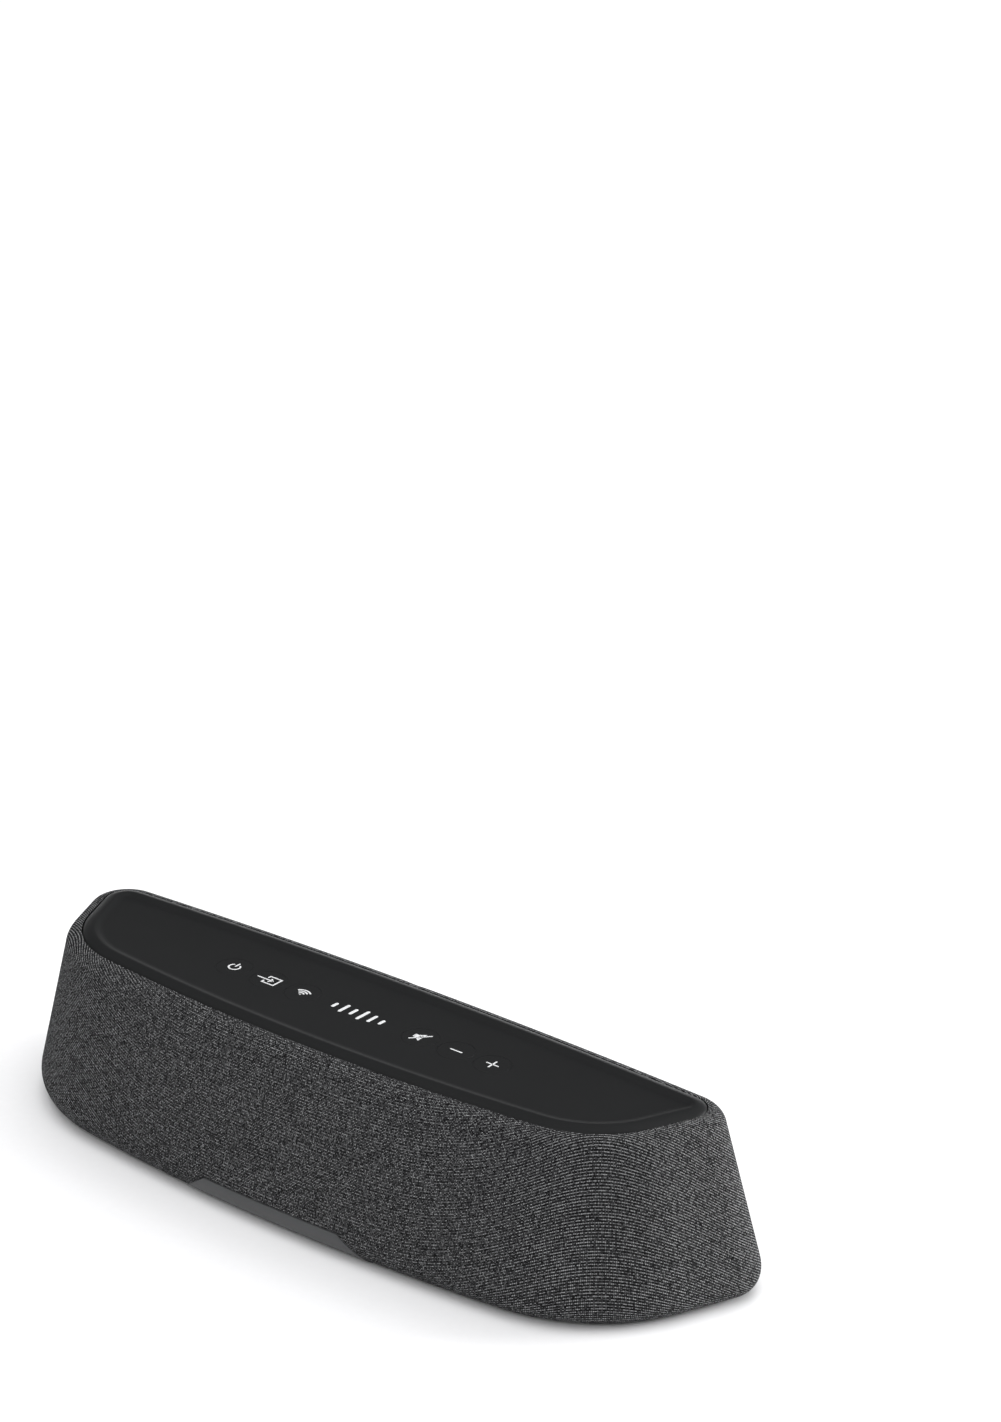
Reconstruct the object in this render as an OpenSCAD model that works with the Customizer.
// Compact cloth-wrapped soundbar: a tapered body with a bowed front, slanted ends, a flush
// top panel with six keys, three front drivers, two end tweeters and a recessed socket bay.
// Millimetres. +X right, the front faces -Y, +Z up. Origin: bottom centre, on the surface it stands on.

/* [Body] */
// Width across the ends at the widest level
body_w = 366; // [350:1:390]
// Depth at the widest level
body_d = 108.8; // [104:0.2:116]
// Height of the cloth's top edge
cloth_top = 79.3; // [76:0.1:84]
// Width across the ends at the top edge
top_w = 330.5; // [320:0.5:345]
// Depth at the top edge
top_d = 85.4; // [82:0.2:92]
// How far the back leans forward between the widest level and the top
back_lean = 10.9; // [8:0.1:13]
// Radius of the tucked-under lower edge
lower_round = 14.2; // [12:0.1:16]
// Radius of the shoulder where the cloth turns onto the top
shoulder_round = 5.8; // [5:0.1:7]
// Radius of the front corners, widest level then top
front_round = [75.7, 51.8]; // [40:0.1:90]
// Radius of the back corners, widest level then top
back_round = [20.2, 16.7]; // [16:0.1:24]
// Half angle that the bowed front sweeps
front_bow = 7.07; // [6:0.01:8]
// Half angle that the bowed back sweeps
back_bow = 3.6; // [3:0.1:4.5]
// Direction that the end faces point, from +X, towards the front
end_slant = -22.6; // [-26:0.1:-18]

/* [Skin] */
// Thickness of the cloth sleeve
cloth_t = 1; // [0.8:0.1:1.2]
// Thickness of the grille frame's wall
frame_t = 2.1; // [1.8:0.1:2.6]
// Clearance between fixed pieces
gap = 0.3; // [0.2:0.05:0.4]

/* [Top panel] */
// Height of the panel's flat field
field_z = 80; // [79.6:0.1:80.6]
// Height of the soft rim bead
rim_z = 80.95; // [80.6:0.05:81.5]
// Thickness of the panel under the field
panel_t = 3.4; // [3:0.1:4]

/* [Keys] */
// Radius of each round key
key_r = 8; // [7:0.1:8.2]
// Radial clearance round each key
key_gap = 0.2; // [0.15:0.05:0.3]
// Line of keys, towards the back from the middle
key_y = 0.3; // [-2:0.1:4]
// Distance that a key travels down
key_travel = 0.5; // [0.3:0.1:0.6]

/* [Drivers] */
// Distance between neighbouring woofers
woofer_pitch = 78; // [76:0.5:80]
// Height of the drivers' centres
driver_z = 38.5; // [37:0.5:40]
// Radius of a woofer's mounting flange
woofer_r = 29; // [28:0.5:30]
// Where the woofer flanges' front faces lie
woofer_y = -34; // [-35:0.5:-33]
// Direction that the right tweeter points, from +X
tweeter_angle = -40; // [-45:1:-35]
// Radius of a tweeter's flange
tweeter_r = 17.5; // [16:0.5:18]

/* [Socket bay] */
// Width of the bay's opening
bay_w = 152; // [140:1:156]
// Height of the bay's opening
bay_h = 26; // [24:0.5:28]
// Height of the row of sockets
port_z = 27; // [25:0.5:29]
// Outer face of the plate that the sockets stand in
port_y = 35; // [34:0.5:36]

/* [Hidden] */

// Steps along each stretch of the outline and round each rounded edge
bow_steps = 5;
corner_steps = 8;
edge_steps = 4;
round_fn = 64;
eps = 0.01;

// Levels of the feet and the tray
foot_h = 1.2;
tray_z = 1.4;
tray_t = 3;
tray_top = tray_z + tray_t;
tray_inset = 10.8;
foot_r = 8;
foot_at = [[-112, -26], [112, -26], [-130, 30], [130, 30]];

// Chin: a trapezoid at the front's lower edge
chin_half = [52, 35.7];
chin_h = 12;
chin_t = 4;
chin_proud = 0.25;

// Panel, its gasket and the ledge that carries both
panel_edge = 6.1;
panel_under = field_z - panel_t;
gasket_t = 1.2;
ledge_t = 2;
ledge_top = panel_under - gasket_t;

// Keys, from left to right, and what is under them
key_x = [-67, -48, -29, 34, 52.5, 71];
key_flange_r = 8.6;
key_flange_z = [74.9, 76.2];
key_stem_r = 2;
key_stem_z = 73.4;
switch_h = 3.65;
switch_w = 6;
key_slack = 0.05;
switch_top = key_stem_z - key_travel - key_slack;
board_t = 1.6;
key_board_z = switch_top - switch_h - board_t;
key_board_size = [172, 20];
post_r = 2.2;
post_x = [-83, -13, 15, 83];

// Baffle and woofers
gasket_d = 0.5;
flange_t = 2.5;
baffle_y = woofer_y + flange_t + gasket_d;
baffle_t = 4;
baffle_size = [232, 67];
baffle_z = 5;
woofer_x = [-woofer_pitch, 0, woofer_pitch];
woofer_bolt_r = 26.8;
woofer_hole_r = 24.8;
screw_r = 1.2;

// Tweeters: centre of the flange's front face, right side
tweeter_at = [147.4, -12.6];
tweeter_bolt_r = 15.2;
tweeter_motor_r = 12.5;
bracket_t = 3;
bracket_back = flange_t + bracket_t;
bracket_foot = tweeter_at - (bracket_back + 6) * [cos(tweeter_angle), sin(tweeter_angle)];

// Main board and sockets
board_y = 19;
board_size = [200, 56];
board_z = 10;
board_back = board_y + board_t;
port_t = 2;
bay_wall = 2;
bay_z = 15;
hdmi_x = -54;
optical_x = -24;
aux_x = 2;
usb_x = 27;
dc_x = 56;
socket_front = port_y + 0.4;

// Frame bosses that the case screws bite into
// and the ribs that tie them to its wall
boss_at = [[-64, -39], [64, -39], [-96, 40], [96, 40], [-163, 14], [163, 14]];
boss_rib = [[0, -7.6], [0, -7.6], [0, 6.6], [0, 6.6], [-9, 0], [9, 0]];
boss_r = 3.5;
boss_top = 11;
brace_at = [[-100, -22], [-50, -22], [50, -22], [100, -22]];
post_at = [-92, 92];
antenna_at = [-128, 128];

// ---- Outline and lofting -------------------------------------------------

function mix(a, b, t) = a + (b - a) * t;
function last(list) = list[len(list) - 1];
function unit(v) = v / norm(v);
function level(z) = (z - lower_round) / (cloth_top - lower_round);

// Points of an arc of radius r that starts at point p and turns from angle a to angle b
function arc(p, r, a, b, steps) =
    [for (i = [1:steps]) let (q = mix(a, b, i / steps)) p + r * [cos(q) - cos(a), sin(q) - sin(a)]];

// Half of the outline at level t, moved in by inset: bowed front, corner, straight end, corner, bowed back
function half_outline(t, inset) =
    let (
        w = mix(body_w, top_w, t) / 2,
        d = mix(body_d, top_d, t),
        rf = mix(front_round[0], front_round[1], t),
        rb = mix(back_round[0], back_round[1], t),
        a1 = -90 + front_bow,
        a3 = 90 - back_bow,
        big_b = (w - rb * (1 - cos(a3))) / cos(a3),
        across = w - rf * (cos(end_slant) - cos(a1)) - rb * (1 - cos(end_slant)),
        along = d - rf * (sin(end_slant) - sin(a1)) - rb * (sin(a3) - sin(end_slant)) - big_b * (1 - sin(a3)),
        det = cos(a1) * cos(end_slant) + sin(end_slant) * (1 - cos(front_bow)),
        big_f = (across * cos(end_slant) + sin(end_slant) * along) / det,
        run = (cos(a1) * along - (1 - cos(front_bow)) * across) / det,
        p0 = [0, body_d / 2 - back_lean * t - d + inset],
        bow = arc(p0, big_f - inset, -90, a1, bow_steps),
        corner = arc(last(bow), rf - inset, a1, end_slant, corner_steps),
        p3 = last(corner) + run * [-sin(end_slant), cos(end_slant)],
        heel = arc(p3, rb - inset, end_slant, a3, corner_steps),
        back = arc(last(heel), big_b - inset, a3, 90, bow_steps)
    )
    concat([p0], bow, corner, [p3], heel, back);

// The whole outline, anticlockwise from the middle of the front
function outline(t, inset) =
    let (h = half_outline(t, inset), n = len(h))
    concat(h, [for (i = [n - 2:-1:1]) [-h[i].x, h[i].y]]);

function ring(t, inset, z) = [for (p = outline(t, inset)) [p.x, p.y, z]];

// Rings of the outer skin, a distance depth inside it, from the tucked-under edge to the top
edge_start = acos(1 - foot_h / lower_round);
function skin(depth) = concat(
    [for (i = [0:edge_steps])
        let (q = mix(edge_start, 90, i / edge_steps), z = lower_round - (lower_round - depth) * cos(q))
        ring(level(z), lower_round - (lower_round - depth) * sin(q), z)],
    [for (i = [0:edge_steps])
        let (q = 90 * i / edge_steps, r = shoulder_round - depth, z = cloth_top - shoulder_round + r * sin(q))
        ring(level(z), shoulder_round - r * cos(q), z)]
);

function backwards(list) = [for (i = [len(list) - 1:-1:0]) list[i]];

// Side faces between ring i and ring j of n points each
function band(i, j, n) =
    [for (k = [0:n - 1]) [i * n + k, j * n + k, j * n + (k + 1) % n, i * n + (k + 1) % n]];

// Solid between stacked rings, closed by a flat cap at each end
module loft(rings) {
    n = len(rings[0]);
    m = len(rings);
    polyhedron(
        points = [for (r = rings) each r],
        faces = concat(
            [[for (k = [0:n - 1]) k]],
            [for (i = [0:m - 2]) each band(i, i + 1, n)],
            [[for (k = [n - 1:-1:0]) (m - 1) * n + k]]
        ),
        convexity = 6
    );
}

// Tube-like solid whose rings close on themselves, outer skin up and inner skin down
module shell(rings) {
    n = len(rings[0]);
    m = len(rings);
    polyhedron(
        points = [for (r = rings) each r],
        faces = [for (i = [0:m - 1]) each band(i, (i + 1) % m, n)],
        convexity = 8
    );
}

// Tube swept along a list of points, with flat ends; the path never runs along side
module tube(path, r, sides, side) {
    n = len(path);
    function along(i) = unit(path[min(i + 1, n - 1)] - path[max(i - 1, 0)]);
    rings = [for (i = [0:n - 1])
        let (u = unit(cross(along(i), side)), v = cross(along(i), u))
        [for (k = [0:sides - 1]) path[i] + r * (u * cos(360 * k / sides) + v * sin(360 * k / sides))]];
    loft(rings);
}

function bezier(p, steps) =
    [for (i = [0:steps]) let (t = i / steps, s = 1 - t)
        p[0] * s * s * s + p[1] * 3 * s * s * t + p[2] * 3 * s * t * t + p[3] * t * t * t];

// Rectangle with rounded corners, centred, as points
function round_rect(w, h, r) =
    [for (c = [0:3]) for (i = [0:4])
        let (q = 90 * c + 22.5 * i, sx = (c == 0 || c == 3) ? 1 : -1, sy = c < 2 ? 1 : -1)
        [sx * (w / 2 - r) + r * cos(q), sy * (h / 2 - r) + r * sin(q)]];

// Puts a shape drawn upright so that its +Z points out of the front, at [x, y, z]
module facing_front(x, y, z) {
    translate([x, y, z]) rotate([90, 0, 0]) children();
}

// The same, pointing out of the back
module facing_back(x, y, z) {
    translate([x, y, z]) rotate([-90, 0, 0]) children();
}

// Puts a shape drawn upright so that its +Z points along a tweeter's axis
module at_tweeter(side) {
    translate([side * tweeter_at.x, tweeter_at.y, driver_z])
        rotate([0, 0, side > 0 ? tweeter_angle : 180 - tweeter_angle])
            rotate([0, 90, 0]) children();
}

// Rod or bore along +Z between two heights
module rod(r, low, high) {
    translate([0, 0, low]) cylinder(r = r, h = high - low, $fn = round_fn);
}

// Ring between two radii and two heights
module collar(outer, inner, low, high) {
    difference() {
        rod(outer, low, high);
        rod(inner, low - 1, high + 1);
    }
}

// Solid of revolution from points of radius and height
module turned(points) {
    rotate_extrude($fn = round_fn) polygon(points);
}

// Plain block between two corners
module block(low, high) {
    translate(low) cube(high - low);
}

// Pan-head screw, head up from z = 0, with a cross recess
module screw(head_r, head_h, shank_r, length) {
    difference() {
        union() {
            rod(head_r, 0, head_h);
            rod(shank_r, -length, eps);
        }
        for (a = [0, 90]) rotate([0, 0, a])
            translate([-head_r * 0.6, -0.35, head_h * 0.4]) cube([head_r * 1.2, 0.7, head_h]);
    }
}

// ---- Casing ----------------------------------------------------------------

module tray_outline(inset) {
    polygon(outline(level(tray_z), inset));
}

module base_tray() {
    color("#26272a") difference() {
        union() {
            translate([0, 0, tray_z]) linear_extrude(tray_t) tray_outline(tray_inset);
            translate([0, 0, tray_top - eps]) linear_extrude(3) difference() {
                tray_outline(tray_inset + 3);
                tray_outline(tray_inset + 5);
            }
            for (p = brace_at) translate([p.x, p.y, 0]) rod(4, tray_top - eps, 8);
            for (x = post_at) block([x - 4, board_back, tray_top - eps], [x + 4, board_back + 6, 64]);
            for (x = antenna_at) for (y = [18.4, 21.4]) block([x - 6, y, tray_top - eps], [x + 6, y + 2, 10]);
        }
        for (p = foot_at) translate([p.x, p.y, 0]) rod(foot_r + gap, 0, foot_h + 0.8);
        for (p = boss_at) translate([p.x, p.y, 0]) {
            rod(1.4, 0, tray_top + 1);
            rod(3.2, 0, tray_z + 1.2);
        }
        for (p = boss_at) translate([p.x, p.y, 0]) rod(boss_r + gap, tray_top, 14);
        for (i = [0:len(boss_at) - 1]) translate([boss_at[i].x, boss_at[i].y, 0])
            rib(boss_rib[i], 1.2 + gap, tray_top, 14);
        for (p = brace_at) translate([p.x, p.y, 0]) rod(screw_r, tray_top, 9);
        for (x = chin_screw_x) translate([x, chin_screw_y, 0]) rod(screw_r, tray_z + 0.8, 9);
        for (x = chin_screw_x) block([x - chin_tab - gap, -50, tray_top], [x + chin_tab + gap, -32.7, tray_top + 4]);
        for (side = [-1, 1]) translate([side * bracket_foot.x, bracket_foot.y, 0]) rod(screw_r, tray_z + 0.8, 9);
        for (x = post_at) for (z = [16, 58]) facing_front(x, board_back, z) rod(screw_r, -5, 1);
        for (i = [-6:6]) block([i * 9 - 2, 4, 0], [i * 9 + 2, 20, tray_top + 1]);
    }
}

// Row part of the chin's surface at a depth under the cloth's face: its height, then its y at the centre line
function chin_row(depth, part) =
    let (
        r = lower_round - depth,
        q = mix(edge_start, acos((lower_round - chin_h) / r), part),
        z = lower_round - r * cos(q),
        t = level(z)
    )
    [z, body_d / 2 - back_lean * t - mix(body_d, top_d, t) + lower_round - r * sin(q)];

front_radius = 905;
function chin_points(depth, part) =
    let (row = chin_row(depth, part), half = mix(chin_half[0], chin_half[1], row[0] / chin_h))
    [for (i = [-10:10]) let (x = half * i / 10)
        [x, row[1] + front_radius - sqrt(front_radius * front_radius - x * x), row[0]]];

chin_rows = 6;
chin_screw_x = [-30, 30];
chin_screw_y = -37;
chin_tab = 6;

// Curved plate from rows of points, outer surface up and inner surface down, with closed sides
module plate(outer, inner) {
    rows = concat(outer, backwards(inner));
    n = len(rows[0]);
    m = len(rows);
    top = len(outer) - 1;
    right = n - 1;
    polyhedron(
        points = [for (r = rows) each r],
        faces = concat(
            [for (i = [0:m - 1]) let (j = (i + 1) % m) for (k = [0:n - 2])
                [i * n + k, j * n + k, j * n + k + 1, i * n + k + 1]],
            [for (i = [0:top - 1]) let (a = i * n, b = (m - 1 - i) * n) [a, b, b - n, a + n]],
            [for (i = [0:top - 1]) let (a = i * n + right, b = (m - 1 - i) * n + right) [a, a + n, b - n, b]]
        ),
        convexity = 4
    );
}

module front_chin() {
    steps = [for (i = [0:chin_rows]) i / chin_rows];
    color("#3a3b3e") difference() {
        union() {
            plate([for (p = steps) chin_points(-chin_proud, p)], [for (p = steps) chin_points(chin_t, p)]);
            for (x = chin_screw_x) block([x - chin_tab, -49, tray_top], [x + chin_tab, -33, tray_top + 2]);
        }
        for (x = chin_screw_x) translate([x, chin_screw_y, 0]) rod(1.5, tray_top - 1, tray_top + 4);
    }
}

// Cutter for the chin's notch, with a clearance all round
module chin_notch(clear) {
    facing_front(0, -34, 0) linear_extrude(40)
        polygon([[-chin_half[0] - clear, 0], [-chin_half[1] - clear, chin_h + clear],
                 [chin_half[1] + clear, chin_h + clear], [chin_half[0] + clear, 0]]);
}

// Cutter for the socket bay's window
module bay_window(clear) {
    facing_back(0, port_y - 5, bay_z + bay_h / 2) linear_extrude(40)
        polygon(round_rect(bay_w + 2 * bay_wall + 2 * clear, bay_h + 2 * bay_wall + 2 * clear, 4));
}

// Upright rib from the origin to the point reach, half as thick as given each side
module rib(reach, half, low, high) {
    block([min(0, reach.x) - (reach.x == 0 ? half : 0), min(0, reach.y) - (reach.y == 0 ? half : 0), low],
          [max(0, reach.x) + (reach.x == 0 ? half : 0), max(0, reach.y) + (reach.y == 0 ? half : 0), high]);
}

module foot(i) {
    color("#1b1b1c") translate([foot_at[i].x, foot_at[i].y, 0])
        turned([[0, 0], [foot_r - 0.6, 0], [foot_r, 0.6], [foot_r, foot_h + 0.8], [0, foot_h + 0.8]]);
}

module grille_frame() {
    color("#1f2022") union() {
        difference() {
            shell(concat(skin(cloth_t + 0.05), backwards(skin(cloth_t + frame_t))));
            for (x = woofer_x) facing_front(x, -36, driver_z) rod(27, 0, 30);
            for (side = [-1, 1]) at_tweeter(side) rod(15, 3, 40);
            facing_front(woofer_pitch / 2, -36, driver_z) linear_extrude(30) polygon(round_rect(5, 34, 2));
            chin_notch(gap);
            bay_window(gap);
        }
        difference() {
            translate([0, 0, ledge_top - ledge_t]) linear_extrude(ledge_t) difference() {
                polygon(outline(level(ledge_top - ledge_t), cloth_t + frame_t - 0.6));
                polygon(outline(level(ledge_top - ledge_t), 12));
            }
            block([-150, -60, ledge_top - 3], [150, -26, ledge_top - 1.9]);
        }
        for (i = [0:len(boss_at) - 1]) translate([boss_at[i].x, boss_at[i].y, 0]) difference() {
            union() {
                rod(boss_r, tray_top + 0.1, boss_top + 4);
                rib(boss_rib[i], 1.2, tray_top + 0.1, boss_top);
            }
            rod(screw_r, 0, boss_top);
        }
    }
}

module fabric_sleeve() {
    color("#3b3c3e") difference() {
        shell(concat(skin(0), backwards(skin(cloth_t))));
        chin_notch(gap);
        bay_window(gap);
    }
}

module top_panel() {
    profile = [
        [panel_edge, panel_under], [panel_edge, 78.7], [6.5, 79.35], [7.6, 80.05], [9.3, 80.65],
        [11.1, rim_z], [12.6, 80.75], [14, 80.35], [15.2, 80.08], [16, field_z]
    ];
    color("#2a2b2d") difference() {
        union() {
            loft([for (p = profile) ring(1, p[0], p[1])]);
            for (x = post_x) translate([x, key_y, 0]) rod(post_r, key_board_z + board_t, panel_under + 1);
        }
        for (x = key_x) translate([x, key_y, 0]) rod(key_r + key_gap, panel_under - 1, rim_z + 1);
        for (x = post_x) translate([x, key_y, 0]) rod(0.9, 0, panel_under - 0.5);
    }
}

module panel_gasket() {
    color("#161617") translate([0, 0, ledge_top]) linear_extrude(gasket_t) difference() {
        polygon(outline(1, panel_edge + 0.4));
        polygon(outline(1, 9.8));
    }
}

// ---- Keys --------------------------------------------------------------------

module key(i) {
    color("#2b2c2e") translate([key_x[i], key_y, 0]) union() {
        turned([[0, key_flange_z[0]], [key_r, key_flange_z[0]], [key_r, field_z - 0.1],
                [key_r - 0.1, field_z], [0, field_z]]);
        rod(key_flange_r, key_flange_z[0], key_flange_z[1]);
        rod(key_stem_r, key_stem_z, key_flange_z[0] + eps);
    }
}

module key_board() {
    color("#1e4a30") difference() {
        block([-key_board_size.x / 2, key_y - key_board_size.y / 2, key_board_z],
              [key_board_size.x / 2, key_y + key_board_size.y / 2, key_board_z + board_t]);
        for (x = post_x) translate([x, key_y, 0]) rod(screw_r, key_board_z - 1, key_board_z + 3);
    }
}

module tact_switches() {
    base = key_board_z + board_t;
    color("#8d9093") for (x = key_x) translate([x, key_y, base]) {
        block([-switch_w / 2, -switch_w / 2, 0], [switch_w / 2, switch_w / 2, switch_h - 1]);
        rod(1.7, switch_h - 1 - eps, switch_h);
    }
}

module board_screws() {
    color("#b9bbbd") {
        for (x = post_x) translate([x, key_y, key_board_z]) mirror([0, 0, 1]) screw(1.9, 1.2, 0.85, 6);
        for (x = post_at) for (z = [16, 58]) facing_front(x, board_y, z) screw(2.6, 1.6, 1.15, 6);
    }
}

// ---- Baffle and drivers ----------------------------------------------------------

module baffle() {
    color("#242528") difference() {
        union() {
            block([-baffle_size.x / 2, baffle_y, baffle_z],
                  [baffle_size.x / 2, baffle_y + baffle_t, baffle_z + baffle_size.y]);
            for (p = brace_at) block([p.x - 8, baffle_y + baffle_t - eps, 8], [p.x + 8, p.y + 5, 11]);
            for (x = [-39, 39]) block([x - 1.5, baffle_y + baffle_t - eps, 11], [x + 1.5, -19, 70]);
        }
        for (x = woofer_x) facing_front(x, baffle_y, driver_z) {
            rod(woofer_hole_r, -baffle_t - 1, 1);
            for (a = [45:90:315]) rotate([0, 0, a]) translate([woofer_bolt_r, 0, 0]) rod(screw_r, -baffle_t - 1, 1);
        }
        for (p = brace_at) translate([p.x, p.y, 0]) rod(1.5, 7, 12);
    }
}

module driver_gaskets() {
    color("#3a3a3a") {
        for (x = woofer_x) facing_front(x, baffle_y, driver_z) difference() {
            collar(woofer_r, woofer_hole_r + 0.2, 0, gasket_d);
            for (a = [45:90:315]) rotate([0, 0, a]) translate([woofer_bolt_r, 0, 0]) rod(1.5, -1, 2);
        }
    }
}

module driver_screws() {
    color("#9a9c9f") {
        for (x = woofer_x) facing_front(x, woofer_y, driver_z)
            for (a = [45:90:315]) rotate([0, 0, a]) translate([woofer_bolt_r, 0, 0]) screw(1.9, 1.2, 1.15, 6.5);
        for (side = [-1, 1]) at_tweeter(side)
            for (a = [0, 180]) rotate([0, 0, a]) translate([tweeter_bolt_r, 0, 0]) screw(1.9, 1.2, 1.15, 4.5);
        for (p = brace_at) translate([p.x, p.y, 11]) screw(2.6, 1.6, 1.15, 6);
        for (x = chin_screw_x) translate([x, chin_screw_y, tray_top + 2]) screw(2.6, 1.6, 1.15, 4);
        for (side = [-1, 1]) translate([side * bracket_foot.x, bracket_foot.y, tray_top + 2.5])
            screw(2.6, 1.6, 1.15, 4.5);
    }
}

module woofer_basket(i) {
    color("#3c3e41") facing_front(woofer_x[i], woofer_y, driver_z) difference() {
        union() {
            turned([[18, -16], [8.9, -16], [8.9, -14], [15.2, -14], [15.2, -12.4], [17.4, -12.4], [17.4, -9],
                    [23.4, -2.2], [23.4, 0], [woofer_r, 0], [woofer_r, -flange_t], [24.4, -flange_t], [19, -9.2],
                    [19, -16]]);
            block([-4, 18.6, -15], [4, 21.4, -12.5]);
        }
        for (a = [30:60:330]) rotate([0, 0, a]) translate([16, -4.2, -11]) cube([9, 8.4, 6]);
        for (a = [45:90:315]) rotate([0, 0, a]) translate([woofer_bolt_r, 0, 0]) rod(1.4, -4, 1);
    }
}

module woofer_magnet(i) {
    color("#6d7074") facing_front(woofer_x[i], woofer_y, driver_z)
        turned([[0, -27], [16, -27], [16, -24.5], [18, -24], [18, -19], [17, -18.5], [17, -16],
                [8.8, -16], [8.8, -18.5], [10.5, -18.5], [10.5, -24.5], [7, -24.5], [7, -16], [0, -16]]);
}

module woofer_cone(i) {
    dome = [for (k = [0:6]) let (q = 15 * k) [8.6 * cos(q), -9.2 + 2.6 * sin(q)]];
    inner_dome = [for (k = [0:6]) let (q = 15 * k) [8 * cos(q), -9.2 + 2.1 * sin(q)]];
    color("#17181a") facing_front(woofer_x[i], woofer_y, driver_z)
        turned(concat(
            [[7.6, -21.5], [8, -21.5], [8, -10.8], [18.6, -0.6], [19.6, -0.6], [19.6, 0], [18, 0]],
            dome, backwards(inner_dome), [[7.6, -9.4]]));
}

module woofer_surround(i) {
    roll = [for (k = [0:8]) let (q = 180 - 22.5 * k) [21.5 + 2.4 * cos(q), 2.4 * sin(q)]];
    hollow = [for (k = [0:8]) let (q = 22.5 * k) [21.5 + 1.9 * cos(q), 1.9 * sin(q)]];
    color("#202124") facing_front(woofer_x[i], woofer_y, driver_z)
        turned(concat([[18.1, 0], [18.1, 0.5]], [for (p = roll) [p[0], max(p[1], 0.5)]],
                      [[24.8, 0.5], [24.8, 0]], hollow));
}

module woofer_spider(i) {
    waves = [for (k = [0:18]) [8.3 + k * 0.5, -12.4 + 0.5 * sin(120 * k) * (k > 13 ? 0 : 1)]];
    color("#b8893a") facing_front(woofer_x[i], woofer_y, driver_z)
        turned(concat([[8.3, -12.4]], waves, backwards([for (p = waves) p + [0, 0.35]])));
}

module tweeter_bracket(side) {
    drop = driver_z - tray_top;
    color("#242528") difference() {
        at_tweeter(side) union() {
            block([-18.5, -17, -bracket_back], [drop, 17, -flange_t]);
            block([drop - 2.5, -10, -bracket_back - 11], [drop, 10, -bracket_back + eps]);
        }
        at_tweeter(side) rod(tweeter_motor_r + 0.2, -12, 2);
        at_tweeter(side) for (a = [0, 180]) rotate([0, 0, a]) translate([tweeter_bolt_r, 0, 0]) rod(screw_r, -12, 2);
        translate([side * bracket_foot.x, bracket_foot.y, 0]) rod(1.5, 0, 12);
    }
}

module tweeter_body(side) {
    color("#1d1e20") at_tweeter(side) difference() {
        turned([[0, -16], [tweeter_motor_r, -16], [tweeter_motor_r, -flange_t], [tweeter_r, -flange_t],
                [tweeter_r, -0.8], [tweeter_r - 0.8, 0], [12.6, 0], [11.6, -1.6], [11.6, -2.6], [9.6, -2.6],
                [9.6, -9], [8.8, -9], [8.8, -2.6], [0, -2.6]]);
        for (a = [0, 180]) rotate([0, 0, a]) translate([tweeter_bolt_r, 0, 0]) rod(1.4, -4, 1);
    }
}

module tweeter_dome(side) {
    dome = [for (k = [0:6]) let (q = 15 * k) [9.3 * cos(q), -1.6 + 3.2 * sin(q)]];
    under = [for (k = [0:6]) let (q = 15 * k) [8.9 * cos(q), -1.6 + 2.8 * sin(q)]];
    color("#4a4c50") at_tweeter(side)
        turned(concat([[8.9, -8], [9.3, -8], [9.3, -2], [11.2, -2], [11.2, -1.6]], dome, backwards(under)));
}

// ---- Electronics ------------------------------------------------------------------

module main_board() {
    color("#1e4a30") difference() {
        block([-board_size.x / 2, board_y, board_z], [board_size.x / 2, board_back, board_z + board_size.y]);
        for (x = post_at) for (z = [16, 58]) facing_front(x, board_back, z) rod(1.4, -1, board_t + 1);
    }
}

// Wire headers stand on the board above each driver, and the flat cable's socket beside them
header_x = [-84, -42, 4, 42, 84];
ribbon_x = -25;

module board_components() {
    color("#2b2d30") {
        for (p = [[20, 30, 14, 14], [44, 24, 12, 12], [66, 34, 9, 9], [-14, 26, 16, 10]])
            block([p[0], board_y - 1.4, p[1]], [p[0] + p[2], board_y, p[1] + p[3]]);
        block([-62, board_y - 2, 22], [-42, board_y, 38]);
        for (p = [[-82, 20], [-82, 34], [84, 20], [30, 50]])
            facing_front(p[0], board_y, p[1]) rod(4.5, 0, 13);
        for (x = [0, 12, 56]) block([x, board_y - 6, 14], [x + 9, board_y, 22]);
        for (x = header_x) block([x - 3.5, board_y - 5, 55], [x + 3.5, board_y, 61]);
        block([ribbon_x - 9, board_y - 5, 47], [ribbon_x + 9, board_y, 51]);
    }
}

module heat_sink() {
    color("#a7aaad") {
        block([-70, board_y - 4.5, 16], [-34, board_y - 2, 46]);
        for (i = [0:7]) block([-70 + i * 4.9, board_y - 17, 16], [-68.3 + i * 4.9, board_y - 4.5 + eps, 46]);
    }
}

// Open-backed tray that the sockets stand in, its edge following the back of the body
module rear_bay() {
    centre_z = bay_z + bay_h / 2;
    color("#1c1d1f") difference() {
        intersection() {
            facing_back(0, port_y - port_t, centre_z) linear_extrude(24)
                polygon(round_rect(bay_w + 2 * bay_wall, bay_h + 2 * bay_wall, 4));
            loft(skin(-0.3));
        }
        facing_back(0, port_y, centre_z) linear_extrude(30) polygon(round_rect(bay_w, bay_h, 2.5));
        translate([hdmi_x, port_y, port_z]) cube([15.8, 10, 6.6], center = true);
        translate([optical_x, port_y, port_z]) cube([13.4, 10, 12.4], center = true);
        facing_back(aux_x, port_y, port_z) rod(4.2, -5, 5);
        translate([usb_x, port_y, port_z]) cube([14, 10, 6.4], center = true);
        translate([dc_x, port_y, port_z]) cube([10.4, 10, 11.4], center = true);
    }
}

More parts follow.
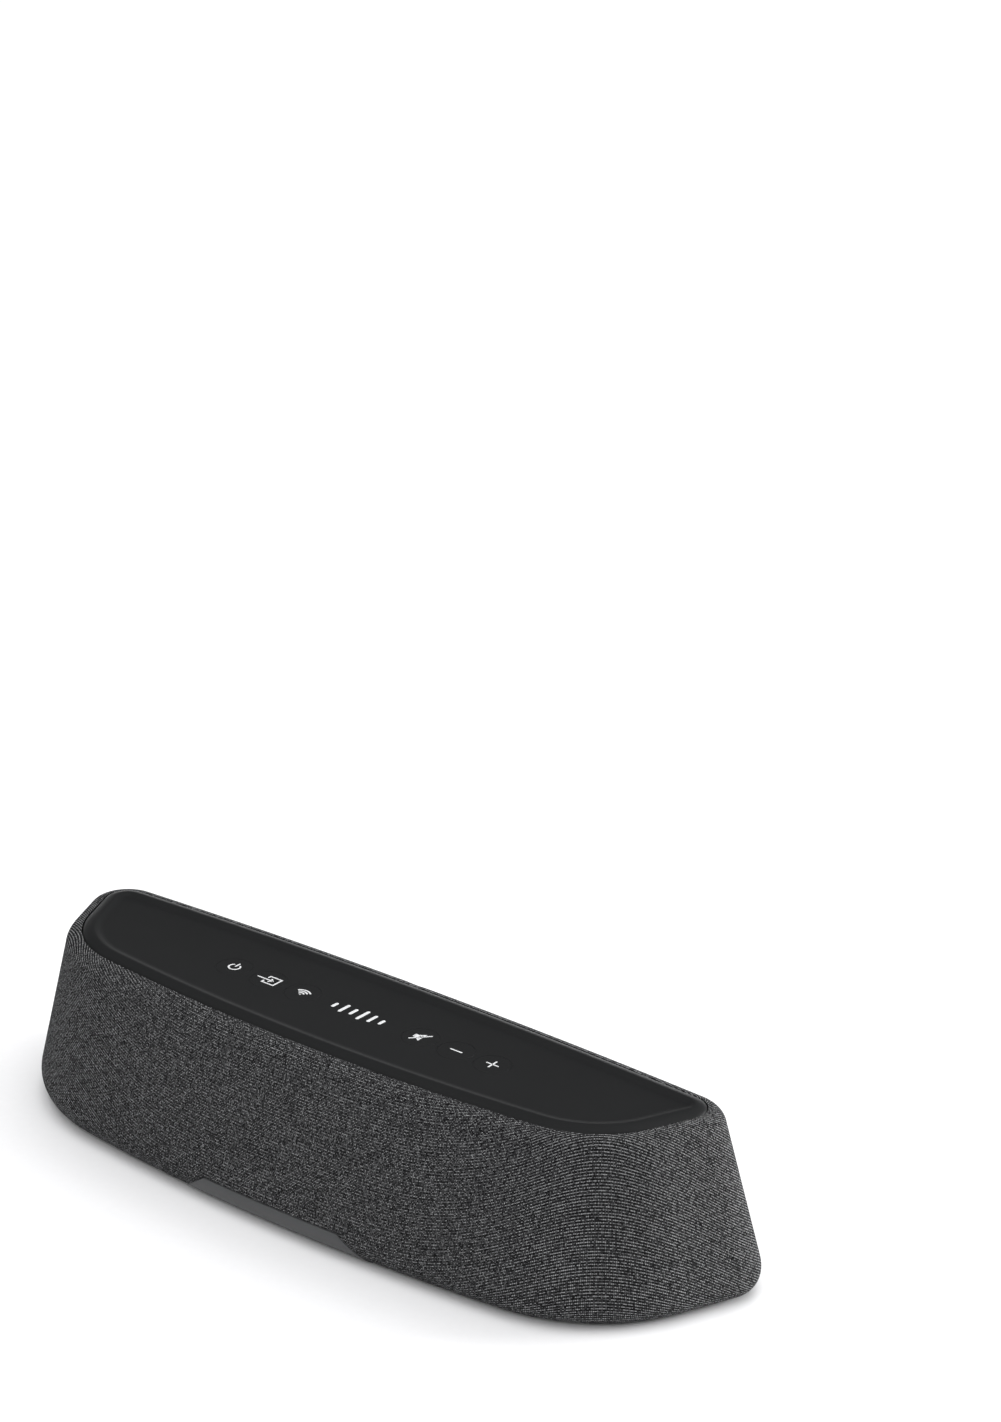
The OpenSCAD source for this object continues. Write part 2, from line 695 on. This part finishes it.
// Metal shell with a tongue, as both the wide sockets have
module shell_socket(x, w, h, wall, tongue_h, tongue_up) {
    difference() {
        block([x - w / 2, board_back, port_z - h / 2], [x + w / 2, socket_front, port_z + h / 2]);
        block([x - w / 2 + wall, board_back + 1.2, port_z - h / 2 + wall],
              [x + w / 2 - wall, socket_front + 1, port_z + h / 2 - wall]);
    }
    block([x - w / 2 + 1.6, board_back + 1.2 - eps, port_z + tongue_up - tongue_h / 2],
          [x + w / 2 - 1.6, socket_front - 0.8, port_z + tongue_up + tongue_h / 2]);
}

module hdmi_socket() {
    color("#b4b6b8") shell_socket(hdmi_x, 15.2, 6, 0.5, 1.2, 0.4);
}

module usb_socket() {
    color("#c3c5c7") shell_socket(usb_x, 13.4, 5.8, 0.4, 1.8, 1);
}

optical_hinge = [port_y - 0.3, port_z + 3.6];
module optical_socket() {
    color("#1a1a1b") difference() {
        block([optical_x - 6.4, board_back, port_z - 5.9], [optical_x + 6.4, socket_front, port_z + 5.9]);
        block([optical_x - 4.5, board_back + 0.9, port_z - 4.5], [optical_x + 4.5, socket_front + 1, port_z + 4.5]);
        translate([optical_x - 5.4, optical_hinge[0], optical_hinge[1]]) rotate([0, 90, 0]) rod(0.56, 0, 10.8);
    }
}

module optical_shutter() {
    color("#2c2c2e") translate([optical_x, optical_hinge[0], optical_hinge[1]]) union() {
        block([-4.2, -0.35, -7.8], [4.2, 0.35, 0]);
        rotate([0, 90, 0]) rod(0.65, -4.2, 4.2);
        rotate([0, 90, 0]) rod(0.5, -5.2, 5.2);
    }
}

module aux_socket() {
    color("#111213") facing_back(aux_x, board_back, port_z) difference() {
        union() {
            block([-5, -5, 0], [5, 5, port_y - port_t - board_back - 0.2]);
            rod(4, 0, socket_front - board_back);
        }
        rod(1.8, 0.8, 20);
    }
}

module dc_inlet() {
    color("#131415") {
        facing_back(dc_x, board_back, port_z) {
            difference() {
                block([-5, -5.5, 0], [5, 5.5, socket_front - board_back]);
                rod(3.1, 1, 20);
            }
            rod(1, 0.5, socket_front - board_back - 1);
        }
    }
}

module case_screws() {
    color("#8b8d90") for (p = boss_at) translate([p.x, p.y, tray_z + 1.2]) mirror([0, 0, 1])
        screw(3, 1, 1.15, boss_top - tray_z - 2);
}

module wifi_antennas() {
    color("#1e4a30") for (x = antenna_at) block([x - 12, 20.5, tray_top], [x + 12, 21.3, 36]);
}

module status_board() {
    x = woofer_pitch / 2;
    color("#1e4a30") union() {
        block([x - 4.5, baffle_y - 1.2, 20], [x + 4.5, baffle_y, 57]);
        for (i = [0:4]) block([x - 1, baffle_y - 2.2, 27 + i * 5], [x + 1, baffle_y - 1.2 + eps, 29 + i * 5]);
    }
}

module light_pipe() {
    x = woofer_pitch / 2;
    color("#d9dde0") block([x - 1.8, baffle_y - 7, 23], [x + 1.8, baffle_y - 2.5, 54]);
}

// Two-core leads from the main board to the drivers' tags
wire_r = 0.7;
module wire_pair(points, side) {
    for (s = [-1, 1]) tube([for (p = bezier(points, 12)) p + s * (wire_r + 0.2) * side], wire_r, 8, side);
}

module speaker_wires() {
    start_y = board_y - 5.1;
    motor_back = tweeter_at - 16.2 * [cos(tweeter_angle), sin(tweeter_angle)];
    color("#b22a22") {
        for (i = [0:2]) wire_pair(
            [[header_x[2 * i], start_y, 58], [header_x[2 * i], 4, 58.6], [woofer_x[i], -8, 58.8],
             [woofer_x[i], -18.7, 58.5]],
            [1, 0, 0]);
        for (side = [-1, 1]) wire_pair(
            [[side * header_x[3], start_y, 58], [side * (header_x[3] + 1), 4, 64],
             [side * (motor_back.x - 20), motor_back.y + 17, 68], [side * motor_back.x, motor_back.y, 45]],
            [0, 0, 1]);
    }
}

// Flat cable from under the key board, over and down to the main board
ribbon_w = 14;
ribbon_bend = 7;
ribbon_t = 0.3;
module ribbon_cable() {
    bend_y = board_y - 3 - ribbon_bend;
    bend_z = key_board_z - ribbon_bend;
    function edge(r) = concat([[2, bend_z + r]],
        [for (q = [90:-15:0]) [bend_y + r * cos(q), bend_z + r * sin(q)]], [[bend_y + r, 51]]);
    color("#d6d3c6") translate([ribbon_x - ribbon_w / 2, 0, 0]) rotate([90, 0, 90]) linear_extrude(ribbon_w)
        polygon(concat(edge(ribbon_bend), backwards(edge(ribbon_bend - ribbon_t))));
}

base_tray();
front_chin();
foot(0);  // foot_front_left
foot(1);  // foot_front_right
foot(2);  // foot_back_left
foot(3);  // foot_back_right
grille_frame();
fabric_sleeve();
top_panel();
panel_gasket();
key(0);  // key_power
key(1);  // key_input
key(2);  // key_wireless
key(3);  // key_mute
key(4);  // key_minus
key(5);  // key_plus
key_board();
tact_switches();
board_screws();
baffle();
driver_gaskets();
driver_screws();
woofer_basket(0);  // woofer_basket_left
woofer_basket(1);  // woofer_basket_centre
woofer_basket(2);  // woofer_basket_right
woofer_magnet(0);  // woofer_magnet_left
woofer_magnet(1);  // woofer_magnet_centre
woofer_magnet(2);  // woofer_magnet_right
woofer_cone(0);  // woofer_cone_left
woofer_cone(1);  // woofer_cone_centre
woofer_cone(2);  // woofer_cone_right
woofer_surround(0);  // woofer_surround_left
woofer_surround(1);  // woofer_surround_centre
woofer_surround(2);  // woofer_surround_right
woofer_spider(0);  // woofer_spider_left
woofer_spider(1);  // woofer_spider_centre
woofer_spider(2);  // woofer_spider_right
tweeter_bracket(-1);  // tweeter_bracket_left
tweeter_bracket(1);  // tweeter_bracket_right
tweeter_body(-1);  // tweeter_body_left
tweeter_body(1);  // tweeter_body_right
tweeter_dome(-1);  // tweeter_dome_left
tweeter_dome(1);  // tweeter_dome_right
main_board();
board_components();
heat_sink();
rear_bay();
hdmi_socket();
optical_socket();
optical_shutter();
aux_socket();
usb_socket();
dc_inlet();
case_screws();
wifi_antennas();
status_board();
light_pipe();
speaker_wires();
ribbon_cable();
